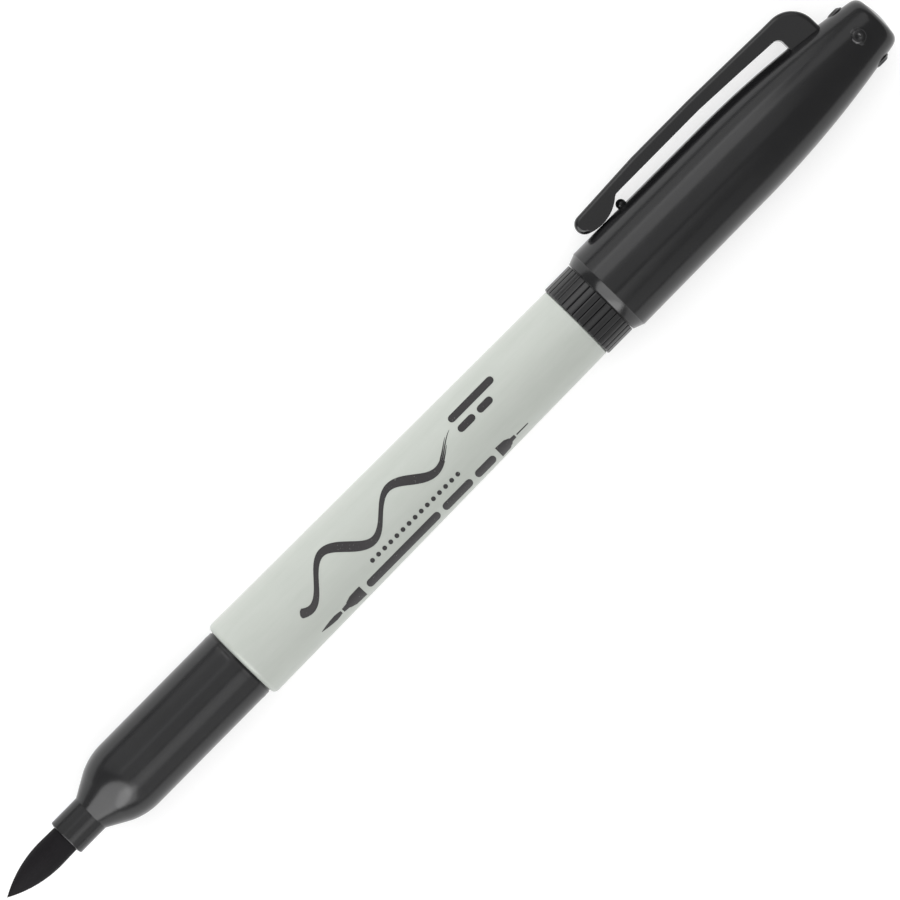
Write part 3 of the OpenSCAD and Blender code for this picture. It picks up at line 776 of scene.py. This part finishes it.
def line(start, end, steps):
    """Evenly spaced points from start to end, without the end."""
    return [tuple(a + (b - a) * i / steps for a, b in zip(start, end)) for i in range(steps)]


nose = (clip_tip_x + nose_r, clip_out - nose_drop - nose_r)
pad_y = cap_r + pad_gap + pad_r
pad = (nose[0] + math.sqrt((pad_r - nose_r) ** 2 - (pad_y - nose[1]) ** 2), pad_y)
meet = math.degrees(math.atan2(nose[1] - pad[1], nose[0] - pad[0])) % 360
pad_end = 270 + math.degrees(math.acos((pad[1] - arm_in) / pad_r))
pad_end_x = pad[0] + pad_r * math.cos(math.radians(pad_end))
slope = math.degrees(math.atan2(nose_drop, nose_slope_l - nose_r))
corner = (clip_root_end_x - corner_r, clip_out - root_drop - corner_r)
bend_out = (bend_end_x, clip_out - root_drop * bend_share)
bend_in = (bend_end_x, arm_in - (arm_in - root_in) * bend_share)
clip_outline = [
    *arc(nose, nose_r, meet, 90 + slope, 18),
    *line((clip_tip_x + nose_slope_l, clip_out), (clip_root_x - taper_l, clip_out), 3),
    *line((clip_root_x - taper_l, clip_out), bend_out, 3),
    *line(bend_out, (clip_root_x, clip_out - root_drop), 9),
    *arc(corner, corner_r, 90, 0, 16),
    (clip_root_end_x, cap_radius(clip_root_end_x, cap_wall) + 0.12),
    (clip_root_x, cap_radius(clip_root_x, cap_wall) + 0.12),
    *arc((clip_root_x - slot_r, root_in - slot_r), slot_r, 0, 90, 9),
    *line((clip_root_x - slot_r - 0.4, root_in + 0.02), bend_in, 8),
    *line(bend_in, (clip_root_x - taper_l, arm_in), 3),
    *line((clip_root_x - taper_l, arm_in), (pad_end_x + 0.35, arm_in), 3),
    *eased((pad_end_x + 0.35, arm_in), (pad_end_x, arm_in), arc(pad, pad_r, pad_end - 5, pad_end, 1)[0], 5),
    *arc(pad, pad_r, pad_end - 7, meet, 16)[:-1],
]
print(len(clip_outline), "points round the clip's outline")

# %% Clip
bpy.ops.object.select_all(action="DESELECT")
bpy.ops.mesh.primitive_plane_add(size=MM, location=(0, 0, 0))
clip = bpy.context.object
clip.name = "pocket_clip"
bpy.ops.object.mode_set(mode="EDIT")
bpy.ops.mesh.merge(type="CENTER")
bpy.ops.transform.translate(value=(clip_outline[0][0] * MM, clip_outline[0][1] * MM, -root_w / 2 * MM))
for (x0, y0), (x1, y1) in zip(clip_outline, clip_outline[1:]):
    bpy.ops.mesh.extrude_vertices_move(TRANSFORM_OT_translate={"value": ((x1 - x0) * MM, (y1 - y0) * MM, 0)})
bpy.ops.mesh.select_all(action="SELECT")
bpy.ops.mesh.edge_face_add()
bpy.ops.mesh.extrude_region_move(TRANSFORM_OT_translate={"value": (0, 0, root_w * MM)})
for x in sorted({round(x, 5) for x, y in clip_outline}):
    narrower = tip_w + (root_w - tip_w) * min(1, (x - clip_tip_x) / (clip_root_x - clip_tip_x))
    pick(clip, lambda v: abs(v.co.x / MM - x) < 0.0001)
    bpy.ops.transform.resize(value=(1, 1, narrower / root_w), center_override=(0, 0, 0))
bpy.ops.mesh.select_all(action="SELECT")
bpy.ops.mesh.normals_make_consistent(inside=False)


def rim_edge(edge, test):
    """True for an edge of one of the clip's sides whose middle passes a test of its x and y."""
    one, two = (v.co / MM for v in edge.verts)
    return one.z * two.z > 0 and test((one.x + two.x) / 2, (one.y + two.y) / 2)


def outer(x, y):
    """True on the clip's outer side, round its nose and on its root."""
    return y > clip_out - 1 or x < nose[0] - 0.1 or x > clip_root_x + 1


outer_count = pick(clip, lambda e: rim_edge(e, outer), "EDGE")
bpy.ops.transform.edge_bevelweight(value=1)
bpy.ops.object.mode_set(mode="OBJECT")
print(outer_count, "outer edges to round")
rounding = clip.modifiers.new("rounding", "BEVEL")
rounding.width = 0.6 * MM
rounding.segments = 5
rounding.limit_method = "WEIGHT"
rounding.use_clamp_overlap = False
bpy.ops.object.modifier_apply(modifier=rounding.name)
break_edges(clip, 0.06, 2, 50)
smooth(clip, 36)
clip.data.materials.append(cap_black)
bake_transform(clip)
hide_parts("cap_clip")
print("clip", [round(side / MM, 2) for side in clip.dimensions])

# %% [markdown]
# ## The print on the barrel
# A pad-printed decoration of this pen's own: a plain wave, as one stroke of the brush would leave it, thick
# on its way down and thin on its way up, with a dry end split in streaks. Beside it are plain bars, a row of
# dots and, at the ends of the long bar, the shape of each nib. There are no letters. Each mark is a grid
# whose columns are set one by one across the stroke's path. The marks lie in a flat sheet above the barrel,
# are pressed down on to it by a Shrinkwrap, as a pad does it, and get the thickness of a film of ink.

# %% Print
PRINT_HEIGHT = 8.0
FILM = 0.03
ROW_W = 0.16
FAR = 100


def mark(name, path):
    """A stroke along a path of (x, y, width) in millimetres, with its width square to the path."""
    columns = len(path) - 1
    rows = max(2, math.ceil(max(width for x, y, width in path) / ROW_W))
    bpy.ops.object.select_all(action="DESELECT")
    bpy.ops.mesh.primitive_grid_add(x_subdivisions=columns, y_subdivisions=rows, size=MM,
                                    location=(0.5 * MM, 0, PRINT_HEIGHT * MM))
    made = bpy.context.object
    made.name = name
    bpy.ops.object.transform_apply(location=True, rotation=False, scale=False)
    bpy.ops.object.mode_set(mode="EDIT")
    bpy.ops.transform.resize(value=(columns, 1, 1), center_override=(0, 0, 0))
    for i in reversed(range(columns + 1)):
        x, y, width = path[i]
        before, after = path[max(i - 1, 0)], path[min(i + 1, columns)]
        lean = math.atan2(after[1] - before[1], after[0] - before[0])
        pick(made, lambda v: abs(v.co.x / MM - i) < 0.1 and abs(v.co.y / MM) < 0.51)
        bpy.ops.transform.resize(value=(1, width, 1), center_override=(i * MM, 0, 0))
        bpy.ops.transform.rotate(value=-lean, orient_axis="Z", center_override=(i * MM, 0, 0))
        bpy.ops.transform.translate(value=((x - i) * MM, (y + FAR) * MM, 0))
    bpy.ops.mesh.select_all(action="SELECT")
    bpy.ops.transform.translate(value=(0, -FAR * MM, 0))
    bpy.ops.object.mode_set(mode="OBJECT")
    return made


def bar(start, end, y, width):
    """The path of a bar with round ends."""
    turns = [math.radians(a) for a in (14, 35, 60, 90)]
    starts = [(start + width / 2 * (1 - math.cos(a)), y, width * math.sin(a)) for a in turns]
    return starts + [(start + end - x, y, w) for x, y, w in reversed(starts)]


def wave(share):
    """The middle of the wave and its width at a share of its length."""
    turn = math.tau * (2.25 * share + 0.62)
    rise = (2.05 - 0.75 * share) * math.sin(turn)
    weight = 1.0 - 0.34 * math.cos(turn) - 0.12 * share
    start = min(1, math.sqrt(1 - (1 - min(share / 0.016, 1)) ** 2) + 0.1)
    return print_x + wave_l * share, 0.35 + rise + 0.35 * share, weight * start


print_x = barrel_x + 9.2
wave_l = 25.4
wave_shares = [0.016 * (i / 8) ** 2 for i in range(8)] + [0.016 + 0.984 * i / 90 for i in range(91)]
marks = [mark("wave", [wave(share) for share in wave_shares])]
streak_lengths = (0.09, 0.13, 0.07)
for i, length in enumerate(streak_lengths):
    path = []
    for step in range(11):
        x, y, width = wave(1 + length * step / 10)
        path.append((x - 0.12, y + 0.24 * (1 - i), 0.2 * math.sqrt(1 - step / 10.5)))
    marks.append(mark(f"streak_{i}", path))
bars = [
    (29.3, 36.8, 2.5, 0.95), (29.3, 32.0, 0.85, 0.95), (32.6, 35.0, 0.85, 0.95),
    (8.2, 20.6, -4.5, 0.95), (21.3, 26.2, -4.5, 0.95), (26.9, 30.2, -4.5, 0.95),
]
for i, (start, end, y, width) in enumerate(bars):
    marks.append(mark(f"bar_{i}", bar(print_x + start, print_x + end, y, width)))
for i in range(15):
    middle = print_x + 10.8 + i * 1.05
    marks.append(mark(f"dot_{i}", bar(middle - 0.3, middle + 0.3, -2.75, 0.6)))
brush_end = [(0.3, 0.05), (1.0, 0.28), (1.9, 0.52), (2.7, 0.62), (3.3, 0.5), (3.7, 0.34)]
marks.append(mark("brush_tip", [(print_x + x, -4.5, w) for x, w in brush_end]))
brush_nose = [(3.95, 0.45), (4.8, 0.62), (4.9, 0.8), (5.7, 1.3), (7.4, 1.4)]
marks.append(mark("brush_nose", [(print_x + x, -4.5, w) for x, w in brush_nose]))
fine_nose = [(30.9, 1.4), (32.3, 1.25), (32.9, 0.75), (33.0, 0.5), (33.7, 0.42)]
marks.append(mark("fine_nose", [(print_x + x, -4.45, w) for x, w in fine_nose]))
marks.append(mark("fine_tip", [(print_x + x, -4.45, w) for x, w in ((33.95, 0.16), (35.9, 0.12))]))
barrel_print = marks[0]
alone(barrel_print)
for piece in marks[1:]:
    piece.select_set(True)
bpy.ops.object.join()
barrel_print.name = "barrel_print"
press = barrel_print.modifiers.new("press", "SHRINKWRAP")
press.target = barrel
press.wrap_method = "PROJECT"
press.use_project_z = True
press.use_negative_direction = True
press.use_positive_direction = False
bpy.ops.object.modifier_apply(modifier=press.name)
film = barrel_print.modifiers.new("film", "SOLIDIFY")
film.thickness = FILM * MM
film.offset = 0
bpy.ops.object.modifier_apply(modifier=film.name)
bpy.ops.object.mode_set(mode="EDIT")
bpy.ops.mesh.select_all(action="SELECT")
bpy.ops.mesh.normals_make_consistent(inside=False)
bpy.ops.object.mode_set(mode="OBJECT")
smooth(barrel_print, 50)
hand_over(barrel_print, print_ink, "pen", "barrel_plastic")
print("print spans", [round(side / MM, 2) for side in barrel_print.dimensions])

# %% [markdown]
# ## The pieces that keep the engineering shape
# The ink core, its film, the fine nib, the tube that holds it and the seal in the cap are right as they
# stand, so they only take their finishes.

# %% Finishes on the engineering nodes
for node, material in {
    "ink_reservoir": core_fibre,
    "reservoir_wrap": wrap_film,
    "fine_nib": nib_fibre,
    "fine_nib_holder": holder_acetal,
    "cap_inner_seal": seal_polyethylene,
}.items():
    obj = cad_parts[node]
    obj.data.materials.clear()
    obj.data.materials.append(material)
    print(node, "takes", material.name)

# %% [markdown]
# ## Floor, light and camera
# The pen lies on a sheet of opal acrylic lit from behind, as on a light table, which keeps its shadow faint.
# Long soft boxes on the clip's side and on the other side make the stripes that tell the eye the plastic is
# round and glossy. A large round box beyond the brush tip lights the faces turned that way, such as the
# shoulder and the bevel of the cap. That box is seen in the gloss only, and the two fill boxes light the
# colour only. A studio comes near to this with polarising sheets; it lets the gloss of the black plastic and
# the shade of the grey barrel be set apart.

# %% Floor
floor_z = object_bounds()[0].z
bpy.ops.object.select_all(action="DESELECT")
bpy.ops.mesh.primitive_grid_add(x_subdivisions=8, y_subdivisions=8, size=12, location=(0, 0, floor_z))
floor = bpy.context.object
floor.name = "floor"
sheet, sheet_tree, sheet_surface = new_material("opal_acrylic_sheet_backlit")
sheet_place = add(sheet_tree, "ShaderNodeTexCoord").outputs["Object"]
sheet_tooth = add(sheet_tree, "ShaderNodeTexNoise",
                  inputs={"Vector": sheet_place, "Scale": per_mm(0.4), "Detail": 3.0})
sheet_bump = add(sheet_tree, "ShaderNodeBump",
                 inputs={"Strength": 0.05, "Distance": 0.02 * MM, "Height": sheet_tooth.outputs["Fac"]})
sheet_shader = add(sheet_tree, "ShaderNodeBsdfPrincipled",
                   inputs={"Base Color": colour("#c4c4c4"), "Roughness": 0.9, "Specular IOR Level": 0.1,
                           "Emission Color": colour("#ffffff"), "Emission Strength": 0.56,
                           "Normal": sheet_bump.outputs["Normal"]})
sheet_tree.links.new(sheet_shader.outputs["BSDF"], sheet_surface)
floor.data.materials.append(sheet)

# %% Light
world = bpy.data.worlds.new("studio")
bpy.context.scene.world = world
world.use_nodes = True
world.node_tree.nodes["Background"].inputs["Color"].default_value = colour("#ffffff")
world.node_tree.nodes["Background"].inputs["Strength"].default_value = 0.36


def soft_box(name, centre, aim, width, length, radiance, shape="RECTANGLE", gloss=True, fill=True):
    """A soft box at a place in metres that faces another, with its brightness given as radiance."""
    bpy.ops.object.select_all(action="DESELECT")
    bpy.ops.object.light_add(type="AREA", location=centre)
    lamp = bpy.context.object
    lamp.name = name
    lamp.rotation_euler = (Vector(aim) - Vector(centre)).to_track_quat("-Z", "Y").to_euler()
    lamp.data.shape = shape
    lamp.data.size = length
    lamp.data.size_y = width
    area = width * length * (math.pi / 4 if shape == "ELLIPSE" else 1)
    lamp.data.energy = radiance * math.pi * area
    lamp.visible_camera = False
    lamp.visible_glossy = gloss
    lamp.visible_diffuse = fill
    print(name, f"{lamp.data.energy:.2f} W")
    return lamp


soft_box("clip_side_box", (0.095, 0.232, 0.262), (0.08, 0, 0), 0.20, 0.13, 1.65)
soft_box("clip_low_box", (0.10, 0.322, 0.137), (0.08, 0, 0), 0.175, 0.20, 0.8)
soft_box("clip_end_box", (0.27, 0.21, 0.26), (0.10, 0, 0), 0.25, 0.18, 0.75)
soft_box("clip_far_box", (-0.07, 0.35, 0.36), (-0.01, 0, 0), 0.55, 0.22, 0.44)
soft_box("brush_side_box", (-0.045, -0.178, 0.272), (-0.01, 0, 0), 0.186, 0.24, 1.1)
soft_box("brush_low_box", (-0.03, -0.325, 0.131), (-0.01, 0, 0), 0.20, 0.24, 0.5)
soft_box("brush_corner_box", (-0.22, -0.27, 0.26), (-0.01, 0, 0), 0.34, 0.26, 1.9)
soft_box("brush_end_box", (-0.35, -0.11, 0.27), (0.0, -0.04, 0), 0.62, 0.68, 3.2, "ELLIPSE", fill=False)
soft_box("overhead_box", (0.05, 0.10, 0.9), (0.04, 0, 0), 0.62, 0.50, 0.4)
soft_box("overhead_fill_box", (0.03, 0.05, 0.9), (0.03, 0, 0), 0.62, 0.62, 1.9, gloss=False)
soft_box("clip_fill_box", (0.03, 0.43, 0.13), (0.03, 0, 0), 0.25, 0.40, 3.0, gloss=False)

# %% [markdown]
# The camera looks straight down from a metre and a half through a long lens, so near and far parts keep
# their true sizes. It is rolled so that the pen runs from the lower left to the upper right.

# %% Camera
bpy.context.scene.view_settings.view_transform = "Standard"
camera = bpy.data.objects.new("camera", bpy.data.cameras.new("camera"))
bpy.context.scene.collection.objects.link(camera)
view_x, view_y = 0.03662, -0.000024
view_height = 1.5
view_roll = -45.32
view_width = 0.1095
camera.location = (view_x, view_y, view_height)
camera.rotation_euler = (0, 0, math.radians(view_roll))
camera.data.sensor_width = 36
camera.data.lens = camera.data.sensor_width * view_height / view_width
camera.data.clip_start = 0.01
bpy.context.scene.camera = camera
print(f"lens {camera.data.lens:.0f} mm")
